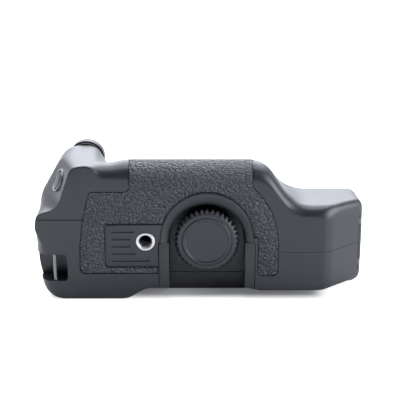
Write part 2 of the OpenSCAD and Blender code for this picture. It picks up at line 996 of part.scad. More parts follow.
front_shell();
rear_shell();
grip_rubber();
thumb_rubber();
socket_pad();
tripod_socket();
knob_well();
screw_bush();
knob();
knob_cap();
camera_screw();
screw_clip();
strap_bar();
shutter_bezel();
shutter_button();
shutter_switch();
mount_plate();
mount_screws();
locating_pins();
plug_seal();
plug_body();
plug_contacts();
main_board();
board_chips();
battery_sleeve();
battery_pack();
battery_contacts();
battery_door();
door_latch();
door_pad();
hinge_pin();
rear_dial();
dial_axle();
dial_bracket();
button_a();
button_b();
button_board();
button_switches();
power_lever();
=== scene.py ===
import bpy
import bmesh
import json
import math
from mathutils import Matrix, Vector


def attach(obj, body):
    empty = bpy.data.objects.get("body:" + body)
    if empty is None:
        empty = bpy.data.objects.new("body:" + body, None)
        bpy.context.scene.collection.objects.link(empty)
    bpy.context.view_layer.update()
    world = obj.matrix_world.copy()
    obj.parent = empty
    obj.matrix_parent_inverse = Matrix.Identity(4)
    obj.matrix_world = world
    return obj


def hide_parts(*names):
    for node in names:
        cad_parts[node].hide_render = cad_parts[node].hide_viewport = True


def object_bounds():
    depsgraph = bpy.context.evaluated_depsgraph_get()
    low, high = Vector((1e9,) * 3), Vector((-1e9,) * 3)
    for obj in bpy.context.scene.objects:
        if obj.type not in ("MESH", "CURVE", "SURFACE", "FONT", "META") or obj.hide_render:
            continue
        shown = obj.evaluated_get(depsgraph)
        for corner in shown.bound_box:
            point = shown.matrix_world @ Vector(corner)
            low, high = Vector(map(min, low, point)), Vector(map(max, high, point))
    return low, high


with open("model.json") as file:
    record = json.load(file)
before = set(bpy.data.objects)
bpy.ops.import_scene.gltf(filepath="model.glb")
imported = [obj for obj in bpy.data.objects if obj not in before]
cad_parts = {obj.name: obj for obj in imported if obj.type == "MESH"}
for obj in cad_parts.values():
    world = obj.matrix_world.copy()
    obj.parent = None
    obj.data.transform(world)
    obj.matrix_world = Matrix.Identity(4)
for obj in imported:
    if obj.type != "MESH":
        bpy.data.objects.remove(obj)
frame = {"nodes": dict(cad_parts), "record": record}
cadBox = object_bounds()
scene = bpy.context.scene
nodes = frame["nodes"]
mm = 0.001
print("frame loaded with", len(nodes), "nodes")

# the camera stands in front of the bottom face and looks a little down
cameraSet = {"place": (-0.8, -479.2, 152.5), "pitch": 17.2, "yaw": 0.17, "lens": 87.4, "sensor": 36}
cameraData = bpy.data.cameras.new("photoCamera")
cameraData.lens = cameraSet["lens"]
cameraData.sensor_width = cameraSet["sensor"]
camera = bpy.data.objects.new("photoCamera", cameraData)
camera.location = Vector(cameraSet["place"]) * mm
camera.rotation_euler = (math.radians(90 - cameraSet["pitch"]), 0, math.radians(-cameraSet["yaw"]))
scene.collection.objects.link(camera)
scene.camera = camera
print("camera placed")


class Wire:
    def __init__(self, sheet, socket):
        self.sheet = sheet
        self.socket = socket

    def calc(self, operation, first, second=0.0):
        return self.sheet.add("ShaderNodeMath", {"operation": operation}, {0: first, 1: second})

    def __add__(self, other):
        return self.calc("ADD", self, other)

    def __radd__(self, other):
        return self.calc("ADD", other, self)

    def __sub__(self, other):
        return self.calc("SUBTRACT", self, other)

    def __rsub__(self, other):
        return self.calc("SUBTRACT", other, self)

    def __mul__(self, other):
        return self.calc("MULTIPLY", self, other)

    def __rmul__(self, other):
        return self.calc("MULTIPLY", other, self)

    def __pow__(self, other):
        return self.calc("POWER", self, other)

    def __gt__(self, other):
        return self.calc("GREATER_THAN", self, other)


class Finish:
    def __init__(self, name, holder=None):
        self.material = holder or bpy.data.materials.new(name)
        self.material.use_nodes = True
        self.tree = self.material.node_tree
        self.tree.nodes.clear()

    def add(self, kind, settings=None, inputs=None, out=0):
        node = self.tree.nodes.new(kind)
        for key, value in (settings or {}).items():
            if key == "stops":
                for stop, (place, shade) in zip(node.color_ramp.elements, value):
                    stop.position = place
                    stop.color = (*shade, 1)
            else:
                setattr(node, key, value)
        for key, value in (inputs or {}).items():
            if isinstance(value, Wire):
                self.tree.links.new(value.socket, node.inputs[key])
            else:
                node.inputs[key].default_value = value
        return Wire(self, node.outputs[out]) if node.outputs else None

    def coords(self, kind="Object"):
        return self.add("ShaderNodeTexCoord", out=kind)

    def mix(self, factor, first, second):
        return self.add("ShaderNodeMix", {"data_type": "RGBA"}, {0: factor, 6: first, 7: second}, out=2)

    def noise(self, where, scale, detail=3.0, rough=0.55):
        return self.add("ShaderNodeTexNoise", None,
                        {"Vector": where, "Scale": scale, "Detail": detail, "Roughness": rough})

    def bump(self, height, strength, distance):
        return self.add("ShaderNodeBump", None,
                        {"Height": height, "Strength": strength, "Distance": distance})

    def surface(self, inputs):
        shader = self.add("ShaderNodeBsdfPrincipled", None, inputs)
        self.add("ShaderNodeOutputMaterial", None, {"Surface": shader})
        return self.material


def tone(colour, factor):
    return (*(c * factor for c in colour), 1)


# moulded plastic with a fine spark-eroded grain
def mouldedPlastic(name, colour, rough, grain=1600, depth=0.00004, strength=0.35, specular=0.5):
    f = Finish(name)
    where = f.coords()
    cloud = f.noise(where, 45, 4)
    fine = f.noise(where, grain, 2)
    speck = f.noise(where, grain * 0.45, 3, 0.7)
    shade = f.mix(cloud * 0.6 + speck * 0.4, tone(colour, 0.86), tone(colour, 1.14))
    height = fine * 0.6 + speck * 0.4
    return f.surface({
        "Base Color": shade,
        "Roughness": (fine - 0.5) * 0.16 + (cloud - 0.5) * 0.1 + rough,
        "Specular IOR Level": specular,
        "Normal": f.bump(height, strength, depth),
    })


# rubber skin with pebbled leather grain, laid out on the sheet's own flat pattern in millimetres
def leatherRubber(name, colour, rough):
    f = Finish(name)
    flat = f.coords("UV")
    drift = f.add("ShaderNodeTexNoise", {"noise_dimensions": "2D"},
                  {"Vector": flat, "Scale": 0.42, "Detail": 3.0}, out=1)
    pull = f.add("ShaderNodeVectorMath", {"operation": "MULTIPLY_ADD"},
                 {0: drift, 1: (1.7, 1.7, 0), 2: flat})
    stretched = f.add("ShaderNodeMapping", None, {"Vector": pull, "Scale": (0.82, 1.12, 1)})
    pebble = f.add("ShaderNodeTexVoronoi", {"voronoi_dimensions": "2D", "feature": "SMOOTH_F1"},
                   {"Vector": stretched, "Scale": 0.8, "Smoothness": 0.35, "Randomness": 1.0})
    mound = f.add("ShaderNodeMapRange", {"interpolation_type": "SMOOTHSTEP"},
                  {"Value": pebble, "From Min": 0.12, "From Max": 0.72, "To Min": 1.0, "To Max": 0.0})
    wrinkle = f.noise(stretched, 1.15, 2, 0.5)
    fold = f.add("ShaderNodeMapRange", {"interpolation_type": "SMOOTHSTEP"},
                 {"Value": wrinkle, "From Min": 0.34, "From Max": 0.62})
    fine = f.noise(flat, 3.2, 3)
    height = mound * 0.5 + fold * 0.42 + fine * 0.08
    # the base colour is painted shade in the creases and painted highlight on the pebble tops, following the
    # grain's height
    shade = f.mix(height, tone(colour, 0.35), tone(colour, 1.6))
    return f.surface({
        "Base Color": shade,
        "Roughness": rough + 0.14 - height * 0.14 + (fine - 0.5) * 0.1,
        "Specular IOR Level": 0.6,
        "Normal": f.bump(height, 1.0, 0.0011),
    })


# turned or drawn metal, with fine rings or lines along one axis
def turnedMetal(name, colour, rough, scale, squeeze, metallic=1.0, paintedShadeFrom=None):
    f = Finish(name)
    where = f.coords()
    along = f.add("ShaderNodeMapping", None, {"Vector": where, "Scale": squeeze})
    lines = f.noise(along, scale, 3)
    smear = f.noise(where, 300, 3)
    shade = f.mix(lines * 0.5 + smear * 0.5, tone(colour, 0.86), tone(colour, 1.06))
    # deeper along y than the given depth the colour is painted shade, 0.4 as bright, for the dark inside of a
    # bore
    if paintedShadeFrom is not None:
        inside = f.add("ShaderNodeSeparateXYZ", None, {0: where}, out=1) > paintedShadeFrom
        shade = f.mix(inside, shade, tone(colour, 0.4))
    return f.surface({
        "Base Color": shade,
        "Metallic": metallic,
        "Roughness": (lines - 0.5) * 0.14 + (smear - 0.5) * 0.1 + rough,
        "Normal": f.bump(lines, 0.2, 0.00002),
    })


shellGrey = (0.0130, 0.0145, 0.0185)
finishes = {
    "shell": mouldedPlastic("shellPlastic", shellGrey, 0.33),
    "rubber": leatherRubber("gripLeather", (0.0215, 0.0235, 0.0285), 0.34),
    "trim": mouldedPlastic("trimPlastic", (0.0135, 0.0150, 0.0190), 0.35),
    "plug": mouldedPlastic("plugPlastic", (0.010, 0.010, 0.012), 0.36, 900, 0.00001, 0.15, 0.35),
    "steel": turnedMetal("drawnSteel", (0.2, 0.2, 0.21), 0.34, 900, (1, 1, 0.05)),
    # the socket's bore is painted shade deeper than 0.7 mm in from the face
    "chrome": turnedMetal("platedSocket", (0.62, 0.61, 0.62), 0.3, 1400, (1, 0.05, 1), paintedShadeFrom=-0.0393),
    "plate": mouldedPlastic("platePaint", (0.016, 0.016, 0.018), 0.7, 2400, 0.00003, specular=0.1),
    "seal": mouldedPlastic("sealRubber", (0.014, 0.014, 0.015), 0.6, 1200),
    "inner": mouldedPlastic("innerPlastic", (0.09, 0.09, 0.10), 0.55, 1000),
    "board": mouldedPlastic("boardMask", (0.02, 0.10, 0.05), 0.35, 700),
    "chip": mouldedPlastic("chipResin", (0.018, 0.018, 0.018), 0.5, 1500),
    "contact": turnedMetal("platedContact", (0.80, 0.62, 0.30), 0.25, 1200, (0.05, 1, 1)),
    "satin": turnedMetal("satinRing", (0.16, 0.16, 0.17), 0.2, 900, (1, 1, 1), 0.7),
    "pack": mouldedPlastic("packPlastic", (0.13, 0.13, 0.14), 0.5, 1300),
}
recordSlots = {row["node"]: row["material_slot"] for row in frame["record"]["subparts"]}
for nodeName, part in nodes.items():
    part.data.materials.clear()
    part.data.materials.append(finishes[recordSlots[nodeName]])
print("materials made:", len(finishes))


def asObject(name, bm):
    bm.normal_update()
    mesh = bpy.data.meshes.new(name)
    bm.to_mesh(mesh)
    bm.free()
    obj = bpy.data.objects.new(name, mesh)
    scene.collection.objects.link(obj)
    return obj


# cuts or joins two solids that are still in millimetres, and uses the second one up
def carve(target, cutter, operation="DIFFERENCE"):
    step = target.modifiers.new("carve", "BOOLEAN")
    step.operation = operation
    step.solver = "EXACT"
    step.object = cutter
    shape = bpy.data.meshes.new_from_object(target.evaluated_get(bpy.context.evaluated_depsgraph_get()))
    target.modifiers.clear()
    old = target.data
    target.data = shape
    used = cutter.data
    bpy.data.objects.remove(cutter)
    bpy.data.meshes.remove(used)
    bpy.data.meshes.remove(old)
    return target


# brings a piece to metres, dresses it and lets it ride on its body
def finishPiece(obj, slotName, bodyName, replaced, sharp=32, dress=None):
    mesh = obj.data
    mesh.transform(Matrix.Scale(mm, 4))
    mesh.materials.clear()
    mesh.materials.append(finishes[dress or slotName])
    mesh.polygons.foreach_set("use_smooth", [True] * len(mesh.polygons))
    mesh.set_sharp_from_angle(angle=math.radians(sharp))
    mesh.update()
    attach(obj, bodyName)
    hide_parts(*replaced)
    print("piece", obj.name, len(mesh.polygons), "faces")
    return obj


def roundedPath(corners, steps, closed=True):
    path = []
    last = len(corners) - 1
    for k, (x, z, reach) in enumerate(corners):
        q = Vector((x, z))
        if reach <= 0 or (not closed and k in (0, last)):
            path.append(q)
            continue
        toBack = Vector(corners[k - 1][:2]) - q
        toNext = Vector(corners[(k + 1) % len(corners)][:2]) - q
        cut = min(reach, 0.45 * toBack.length, 0.45 * toNext.length)
        u = q + toBack.normalized() * cut
        w = q + toNext.normalized() * cut
        for j in range(steps + 1):
            f = j / steps
            path.append(u * (1 - f) ** 2 + q * 2 * f * (1 - f) + w * f * f)
    return path


def startRing(bm, points):
    verts = [bm.verts.new(p) for p in points]
    for a, b in zip(verts, verts[1:] + verts[:1]):
        bm.edges.new((a, b))
    return verts


def ringEdges(bm, verts):
    return [bm.edges.get((a, b)) for a, b in zip(verts, verts[1:] + verts[:1])]


def growRing(bm, verts, points):
    made = bmesh.ops.extrude_edge_only(bm, edges=ringEdges(bm, verts))["geom"]
    fresh = {v for v in made if isinstance(v, bmesh.types.BMVert)}
    grown = [next(e.other_vert(v) for e in v.link_edges if e.other_vert(v) in fresh) for v in verts]
    for v, p in zip(grown, points):
        v.co = p
    return grown


# a closed solid through rings of points that match one by one
def loftSolid(rings):
    bm = bmesh.new()
    ring = startRing(bm, rings[0])
    bmesh.ops.contextual_create(bm, geom=ringEdges(bm, ring))
    for points in rings[1:]:
        ring = growRing(bm, ring, points)
    bmesh.ops.contextual_create(bm, geom=ringEdges(bm, ring))
    bmesh.ops.recalc_face_normals(bm, faces=bm.faces)
    return bm


# an outline in x and z pulled along y
def prismSolid(outline, low, high):
    return loftSolid([[(x, y, z) for x, z in outline] for y in (low, high)])


def boxSolid(low, high, rounding=0.0, segments=3):
    bm = bmesh.new()
    bmesh.ops.create_cube(bm, size=1)
    size = [b - a for a, b in zip(low, high)]
    bmesh.ops.scale(bm, vec=size, verts=bm.verts)
    bmesh.ops.translate(bm, vec=[(a + b) / 2 for a, b in zip(low, high)], verts=bm.verts)
    if rounding:
        bmesh.ops.bevel(bm, geom=bm.edges[:], offset=rounding, offset_type="OFFSET", affect="EDGES",
                        segments=segments, profile=0.5, material=-1)
    return bm


# a profile of radius and height turned about +Z; a ring has its profile closed
def turnedSolid(profile, steps, ring=False, angle=2 * math.pi):
    bm = bmesh.new()
    verts = [bm.verts.new((r, 0, h)) for r, h in profile]
    pairs = list(zip(verts, verts[1:])) + ([(verts[-1], verts[0])] if ring else [])
    edges = [bm.edges.new(pair) for pair in pairs]
    full = angle > 6.28
    bmesh.ops.spin(bm, geom=verts + edges, cent=(0, 0, 0), axis=(0, 0, 1), angle=angle, steps=steps,
                   use_merge=full, use_duplicate=False)
    bmesh.ops.remove_doubles(bm, verts=bm.verts[:], dist=1e-4)
    if not full:
        bmesh.ops.holes_fill(bm, edges=[e for e in bm.edges if e.is_boundary])
    bmesh.ops.recalc_face_normals(bm, faces=bm.faces[:])
    return bm


def rod(radius, low, high, place, steps=48):
    bm = turnedSolid([(0, low), (radius, low), (radius, high), (0, high)], steps)
    bm.transform(place)
    return bm


# a turned piece from the corners of its profile, put in its place
def turnedPiece(corners, bend, around, place, ring=False):
    bm = turnedSolid(roundedPath(corners, bend, False), around, ring)
    bm.transform(place)
    return bm


def joined(name, solids):
    whole = bmesh.new()
    for bm in solids:
        shell = bpy.data.meshes.new("loose")
        bm.to_mesh(shell)
        bm.free()
        whole.from_mesh(shell)
        bpy.data.meshes.remove(shell)
    return asObject(name, whole)


def fromObject(obj):
    bm = bmesh.new()
    bm.from_mesh(obj.data)
    old = obj.data
    bpy.data.objects.remove(obj)
    bpy.data.meshes.remove(old)
    return bm


# turns +Z to face the viewer along -Y
toViewer = Matrix.Rotation(math.radians(90), 4, "X")

# the grip's body: sections across y, each moved in by an inset, much as the part's source has them
grip = {
    "depth": 40, "leftEnd": 79.58, "rightEnd": 73.58, "bulgeTop": 37.5, "lobeTop": 36.5, "blockTop": 16.9,
    "grooveDip": 1.5, "footDrop": 28.5, "midDrop": 22.5, "wall": 2.4, "plate": 1.6,
    "bulgeRound": 8.6, "grooveRound": 6.6, "blockRound": 5.6, "rearRound": 2.4, "lobeRound": 0.8,
    "bulgeLean": 16.5, "blockLean": 4.2, "blockLeanFrom": 10, "chamferDepth": 16, "chamferWidth": 17.6,
    "slantDepth": 21, "footEnd": 23, "footStep": 3, "midProp": 15, "blockDrop": 24.5, "blockProp": 14,
    "blockRamp": 12, "scoopWide": 7, "scoopDeep": 9,
    "archLift": 1.9,  # how much taller than round the arch of the well is
    "footRight": -36.8, "midLeft": -28.5, "midRight": 19.5, "propLeft": 24, "blockLeft": 39.8,
    "bulgeRight": 26.2, "bulgeLeft": -37.5, "grooveLeft": -44, "lobeFoot": -48.3, "lobeRight": -53.2,
    "slantTop": (-61.6, -67.8), "slantRise": (-0.9, 0.0), "slantFoot": (11.4, 0.9),
    "slantFootZ": (16.2, 17.6), "heel": (1.2, 0), "heelZ": (13.4, 11),
    "splitLeft": 10.8, "splitRight": -4.9, "cornerSteps": 8, "soft": 2.5,
    "fineTurns": ((8.8, 16), (6.6, 10), (5.6, 9), (2.4, 7), (0.8, 5)), "plainTurns": ((8.6, 5), (2.4, 3)),
}
bottomY = -grip["depth"]
shellDepth = grip["depth"] - grip["plate"]


def clamp01(v):
    return max(0.0, min(1.0, v))


def between(a, b, f):
    return a * (1 - f) + b * f


# zero below, v above, with a soft bend of half width w round nought
def softRamp(v, w):
    return 0.0 if v <= -w else v if v >= w else (v + w) ** 2 / (4 * w)


def edgeBack(s, radius, inset):
    r = max(radius, inset + 0.3)
    return inset if s >= r else r - math.sqrt(max(0.0, (r - inset) ** 2 - (r - s) ** 2))


# share of a side rounding over a depth that is left at s
def roundIn(s, depth):
    return 0.0 if s >= depth else 1 - math.sqrt(1 - (1 - s / depth) ** 2)


def bulgeLean(s):
    return softRamp(s - grip["bulgeRound"], grip["soft"]) * math.tan(math.radians(grip["bulgeLean"]))


def gripSection(s, inset, steps):
    g = grip
    rear = edgeBack(s, g["rearRound"], inset)
    lobe = edgeBack(s, g["lobeRound"], inset)
    bulge = g["bulgeTop"] - edgeBack(s, g["bulgeRound"], inset) - bulgeLean(s)
    groove = g["bulgeTop"] - g["grooveDip"] - edgeBack(s, g["grooveRound"], inset) - bulgeLean(s)
    block = (g["blockTop"] - edgeBack(s, g["blockRound"], inset)
             - softRamp(s - g["blockLeanFrom"], 2) * math.tan(math.radians(g["blockLean"])))
    chamfer = softRamp(g["chamferDepth"] - s, 1.2) * g["chamferWidth"] / g["chamferDepth"]
    right = g["rightEnd"] - chamfer - rear
    step = g["footStep"] * clamp01((s - g["footEnd"]) / g["footStep"])
    foot = -g["footDrop"] + step + rear
    prop = -between(g["blockDrop"], g["footDrop"], clamp01((s - g["blockProp"]) / g["blockRamp"])) + rear
    mid = -between(g["midDrop"], g["footDrop"], clamp01(s / g["midProp"])) + step + rear
    slant = clamp01((s - softRamp(s - g["slantDepth"], 2)) / g["slantDepth"])
    left = -g["leftEnd"]
    scoop = g["scoopWide"] * roundIn(max(0.0, s - inset), g["scoopDeep"]) + inset
    lobeTop = g["lobeTop"] - lobe
    lower = [
        (left + 3.8 + 0.9 * scoop, foot, 9), (g["footRight"] - inset / 3, foot, 3),
        (g["midLeft"] - inset / 3, mid, 3), (g["midRight"] + inset / 3, mid, 2),
        (g["propLeft"] + inset / 3, prop, 3), (right, prop, 6),
    ]
    upper = [
        (right, block, 5.5), (g["blockLeft"] - 0.6 * inset, block, 9),
        (g["bulgeRight"] - 0.6 * inset, bulge, 8),
        (g["bulgeLeft"], bulge, 4), (g["grooveLeft"], groove, 3), (g["lobeFoot"] - 0.5 * inset, groove, 2.5),
        (g["lobeRight"] - inset, lobeTop, 7),
        (between(*g["slantTop"], slant) + 0.6 * inset, lobeTop + between(*g["slantRise"], slant), 8),
    ]
    end = [
        (left + between(*g["slantFoot"], slant) + 0.8 * inset,
         between(*g["slantFootZ"], slant) - 0.3 * inset, 9),
        (left + between(*g["heel"], slant) + inset, between(*g["heelZ"], slant), 4),
        (left + 0.3 + lobe, 6, 2), (left + 0.2 + scoop, -4.5, 4), (left + 0.3 + scoop, -13, 6),
    ]
    return roundedPath(lower + upper + end, steps)


# distances from the bottom face at which sections are taken, close together on the roundings
def stations(low, high, fine):
    turns = grip["fineTurns"] if fine else grip["plainTurns"]
    marks = {round(r * (1 - math.cos(math.pi / 2 * k / n)), 3) for r, n in turns for k in range(1, n + 1)}
    marks |= set(range(9, 39, 1 if fine else 3))
    inside = sorted(m for m in marks if low + 0.02 < m < high - 0.05)
    kept = [low]
    for m in inside:
        if m - kept[-1] > (0.02 if m < 0.5 else 0.1):
            kept.append(m)
    return kept + [high]


def gripSolid(inset, low, high, steps, fine=True, top=None):
    marks = stations(low, high, fine)
    rings = [[(x, bottomY + s, z) for x, z in gripSection(s, inset, steps)] for s in marks]
    if top is not None:
        rings.append([(x, bottomY + top, z) for x, _, z in rings[-1]])
    return loftSolid(rings)


print("sections:", len(stations(0, shellDepth, True)))

# grip rubber: a flat pattern in x and v that bends over the finger bulge; v runs up the bottom face and back
rubberSet = {
    "left": -59.1, "stripLow": -15.5, "armLow": -16.7, "armTop": 2, "armLeft": 23.4, "armRight": 33.2,
    "thick": 1.0, "top": 68.6, "rightEdge": 21, "leftEdge": -35.6, "shoulder": 24.2,
    "archRadius": 21.8, "archSteps": 40, "postOuter": 22.6, "padLeft": -46.8, "padLow": -12.1,
    "padHigh": 8.6, "seam": 0.3,
    "rim": ((0.0, -0.98), (0.0, -0.34), (0.14, -0.1), (0.36, 0.0)),  # pairs of inset and height
}


def bulgeProfile():
    r = grip["bulgeRound"]
    marks = [r * (1 - math.cos(math.radians(a))) for a in range(0, 91, 3)]
    marks += [r + 0.4 * k for k in range(1, 75)]
    line = [(s, grip["bulgeTop"] - edgeBack(s, r, 0) - bulgeLean(s)) for s in marks]
    far = [line[0][1]]
    for (s0, z0), (s1, z1) in zip(line, line[1:]):
        far.append(far[-1] + math.hypot(s1 - s0, z1 - z0))
    return line, far


profileLine, profileFar = bulgeProfile()


# where a point of the flat pattern lies once bent, at a height above the skin
def bentPoint(x, v, height):
    if v <= profileFar[0]:
        return Vector((x, bottomY - height, v))
    k = max(j for j in range(len(profileFar) - 1) if profileFar[j] <= v)
    f = (v - profileFar[k]) / (profileFar[k + 1] - profileFar[k])
    (s0, z0), (s1, z1) = profileLine[k], profileLine[k + 1]
    along = Vector((s1 - s0, z1 - z0)).normalized()
    y = bottomY + between(s0, s1, f) - along.y * height
    return Vector((x, y, between(z0, z1, f) + along.x * height))


# corners of the flat pattern, each with the length that its rounding takes
def rubberCorners():
    r = rubberSet
    arch = r["archRadius"]
    tall = arch + grip["archLift"]
    start = math.pi - math.asin(r["padHigh"] / tall)
    end = math.asin(r["armTop"] / tall)
    turns = [start + (end - start) * k / r["archSteps"] for k in range(r["archSteps"] + 1)]
    strip = [(r["left"], r["stripLow"], 3), (-r["postOuter"], r["stripLow"], 0.6),
             (-r["postOuter"], r["padLow"], 0.3)]
    aroundPad = [(r["padLeft"], r["padLow"], 1.0), (r["padLeft"], r["padHigh"], 1.0)]
    aroundWell = [(arch * math.cos(a), tall * math.sin(a), 0) for a in turns]
    arm = [(r["armLeft"], r["armTop"], 0.3), (r["armLeft"], r["armLow"], 2.6),
           (r["armRight"], r["armLow"], 3.2), (33.3, 3, 5), (30.5, 13.8, 4), (25.8, 21.6, 3),
           (r["rightEdge"], 26.5, 2)]
    wrap = [(r["rightEdge"], r["top"], 0.5), (r["leftEdge"], r["top"], 0.5)]
    side = [(r["leftEdge"], r["shoulder"], 3), (-53.9, r["shoulder"], 2), (-57.2, 10.8, 4), (-58.8, -2, 4)]
    return strip + aroundPad + aroundWell + arm + wrap + side


# the same corners moved inwards all round, with their roundings kept even
def insetCorners(corners, inset):
    spots = [Vector(corner[:2]) for corner in corners]
    area = sum(p.x * q.y - q.x * p.y for p, q in zip(spots, spots[1:] + spots[:1]))
    inward = math.copysign(1, area)
    moved = []
    for k, (x, v, reach) in enumerate(corners):
        back = (spots[k] - spots[k - 1]).normalized()
        ahead = (spots[(k + 1) % len(spots)] - spots[k]).normalized()
        share = inset * inward / (1 + back.dot(ahead))
        bend = back.x * ahead.y - back.y * ahead.x
        kept = max(reach - bend * share, 0.05) if reach > 0 else 0
        moved.append((x - (back.y + ahead.y) * share, v + (back.x + ahead.x) * share, kept))
    return moved


# a flat sheet through pairs of inset and height, lowest first
def sheetSolid(corners, levels, seam=0.0):
    rings = []
    for inset, height in levels:
        outline = roundedPath(insetCorners(corners, inset + seam), 5)
        rings.append([(x, v, height) for x, v in outline])
    return loftSolid(rings)


# bends a flat sheet over the bulge and keeps the flat pattern as its UV map
def bendSheet(bm):
    for far in profileFar[:32] + profileFar[32::4]:
        bmesh.ops.bisect_plane(bm, geom=bm.verts[:] + bm.edges[:] + bm.faces[:], plane_co=(0, far, 0),
                               plane_no=(0, 1, 0), dist=1e-4)
    layer = bm.loops.layers.uv.new("flatPattern")
    for face in bm.faces:
        for loop in face.loops:
            loop[layer].uv = loop.vert.co.xy
    for v in bm.verts:
        v.co = bentPoint(*v.co)
    return bm


skin = sheetSolid(rubberCorners(), rubberSet["rim"], rubberSet["seam"])
finishPiece(asObject("gripRubber", bendSheet(skin)), "rubber", "body", ["grip_rubber"])

# socket pad with its grooves
padSet = {
    "left": -46.6, "low": -11.9, "high": 8.4, "right": -22.5, "step": -0.4, "inArch": -20.0, "margin": 0.3,
    "thick": 1.0, "archRadius": 21.6, "archSteps": 14, "seam": 0.04, "socketX": -28.3, "socketZ": 0.2,
    "bore": 4.56, "grooves": 5, "grooveFirst": 5.2, "pitch": 3.5, "wide": 1.35, "deep": 0.55, "start": -44.0,
    "clear": 7.2, "grooveRound": 0.3, "rim": ((0.0, -0.98), (0.0, -0.2), (0.12, -0.06), (0.28, 0.0)),
}
atSocket = Matrix.Translation((padSet["socketX"], bottomY, padSet["socketZ"])) @ toViewer


def padCorners():
    p = padSet
    tall = p["archRadius"] + grip["archLift"]
    span = math.asin(p["high"] / tall)
    turns = [math.pi - span * k / p["archSteps"] for k in range(p["archSteps"] + 1)]
    corners = [(p["left"], p["high"], 1.0), (p["left"], p["low"], 1.0), (p["right"], p["low"], 0.3),
               (p["right"], p["step"], 0.1)]
    return corners + [(p["archRadius"] * math.cos(a), tall * math.sin(a), 0) for a in turns]


def upright(bm):
    for v in bm.verts:
        v.co = Vector((v.co.x, bottomY - v.co.z, v.co.y))
    bmesh.ops.recalc_face_normals(bm, faces=bm.faces)
    return bm


# a groove stops short of the socket where it would run into it
def padGroove(k):
    p = padSet
    high = p["grooveFirst"] - k * p["pitch"]
    off = abs(high - p["socketZ"])
    end = p["socketX"] + 2
    if off < p["clear"]:
        end = p["socketX"] - math.sqrt(p["clear"] ** 2 - off ** 2)
    half = p["wide"] / 2
    return boxSolid((p["start"], bottomY - 1, high - half), (end, bottomY + p["deep"], high + half),
                    p["grooveRound"])


socketPad = asObject("socketPad", upright(sheetSolid(padCorners(), padSet["rim"], padSet["seam"])))
for k in range(padSet["grooves"]):
    carve(socketPad, asObject("groove", padGroove(k)))
carve(socketPad, asObject("socketBore", rod(padSet["bore"], -2, 2, atSocket, 64)))
finishPiece(socketPad, "trim", "body", ["socket_pad"])

# tripod socket: a bright flanged ring with a tapped hole
socketSet = {"outer": 4.5, "lip": 3.15, "mouth": 2.75, "mouthDeep": 0.9, "bore": 2.55, "long": 9.0,
             "threads": 7, "threadFirst": 1.0, "pitch": 1.1, "threadDepth": 0.38, "sunk": 0.02}
t = socketSet
wallLine = []
for k in range(t["threads"]):
    base = -t["threadFirst"] - k * t["pitch"]
    wallLine += [(t["bore"] + t["threadDepth"], base - 0.05), (t["bore"], base - t["pitch"] / 2)]
ringLine = roundedPath([(t["outer"], -t["long"], 0.1), (t["outer"], -t["sunk"], 0.5),
                        (t["lip"], -t["sunk"], 0.5), (t["mouth"], -t["mouthDeep"], 0.2)], 4, False)
socketBm = turnedSolid(ringLine + wallLine + [(t["bore"], -t["long"])], 72, True)
socketBm.transform(atSocket)
finishPiece(asObject("tripodSocket", socketBm), "chrome", "body", ["tripod_socket"])

# shells: one hollow body with every cut, parted into a front and a rear half
wellSet = {
    "outer": 21.5, "postOuter": 22.3, "gap": 0.12, "radius": 17.2, "half": 17.6, "postTop": -0.4,
    "postRound": 0.45, "low": -32, "deep": 14.6, "cutDeep": 16.8, "floor": 2.0, "rim": 3.7, "rimLead": 0.78,
    "rimSteps": 14, "liftDeep": 4.2, "lineZ": -19.9, "lineHalf": 0.2, "bush": 5.0, "arcSteps": 72,
}
slotSet = {"right": -64.6, "low": -19, "high": -6, "deep": 11, "round": 2, "stock": 2,
           "barX": -70.6, "barY": -37.8, "barRadius": 0.9, "seat": 1.6}
shutterSet = {"at": (-68.6, -30, 27), "up": 23.3, "turn": 20.4, "bezel": 5.6, "bore": 4.6, "button": 4.3}
doorSet = {
    "window": 70.8, "near": -25.6, "far": -3.4, "low": -18.3, "high": 8.3, "gap": 0.3,
    "hingeX": 71.7, "hingeY": -23.3, "knuckle": 1.7, "lugs": ((3.9, 8.75), (-18.75, -13.9)),
    "catchLow": (71.4, -3.4, -7.1), "catchHigh": (72.6, -0.6, -2.9),
}
rearSet = {
    "cut": (-40, -20), "dialX": -58, "dialY": -9, "dialZ": -19.5, "dialRadius": 8.5, "dialWide": 5,
    "dialGap": 0.4, "buttons": (-18, -6), "buttonY": -10, "buttonRadius": 3.0, "leverX": -43, "leverY": -9,
    "neck": 1.5,
}
thumbSet = {"low": (-66.6, -36), "high": (-39, -20), "topZ": -27.5, "gap": 0.1}
partingSet = {"half": 0.2, "rightShare": 0.35}
beyond = 95  # further out than any piece
onSlant = (Matrix.Translation(shutterSet["at"]) @ Matrix.Rotation(math.radians(shutterSet["turn"]), 4, "Z")
           @ Matrix.Rotation(math.radians(shutterSet["up"] - 90), 4, "Y"))


def wellOutline(grow, lift=0.0):
    w = wellSet
    radius, half, top = w["outer"] + grow, w["postOuter"] + grow, w["postTop"] + grow
    arc = [math.pi * k / w["arcSteps"] for k in range(w["arcSteps"] + 1)]
    posts = [(-radius, top), (-half, top), (-half, w["low"]), (half, w["low"]), (half, top), (radius, top)]
    return [(radius * math.cos(a), (radius + lift) * math.sin(a)) for a in arc] + posts


